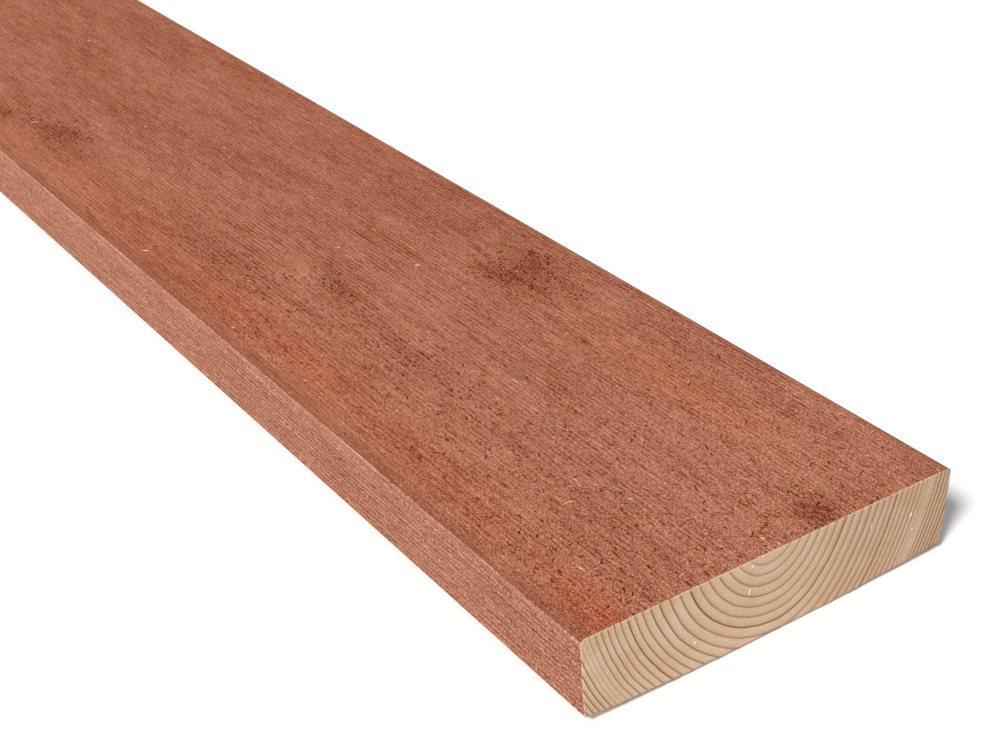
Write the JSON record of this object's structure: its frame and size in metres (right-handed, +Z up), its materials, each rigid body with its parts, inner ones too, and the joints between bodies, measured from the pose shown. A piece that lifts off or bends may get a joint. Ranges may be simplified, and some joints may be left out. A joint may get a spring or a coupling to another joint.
{
  "type": "cladding board",
  "caption": "Straight softwood cladding board with a flat fine-sawn painted face, eased arrises, one square edge, one drip edge and a slightly crowned back.",
  "frame": {"origin": "under the middle of the board, on the floor that its back rests on", "axes": "+X along the board, +Y across its face towards the square upper edge, +Z up, out of the painted face"},
  "size_m": [2.4, 0.145, 0.0315],
  "materials": {
    "painted_wood": "matte"
  },
  "bodies": {
    "root": {"cladding_board": "painted_wood"}
  },
  "joints": []
}
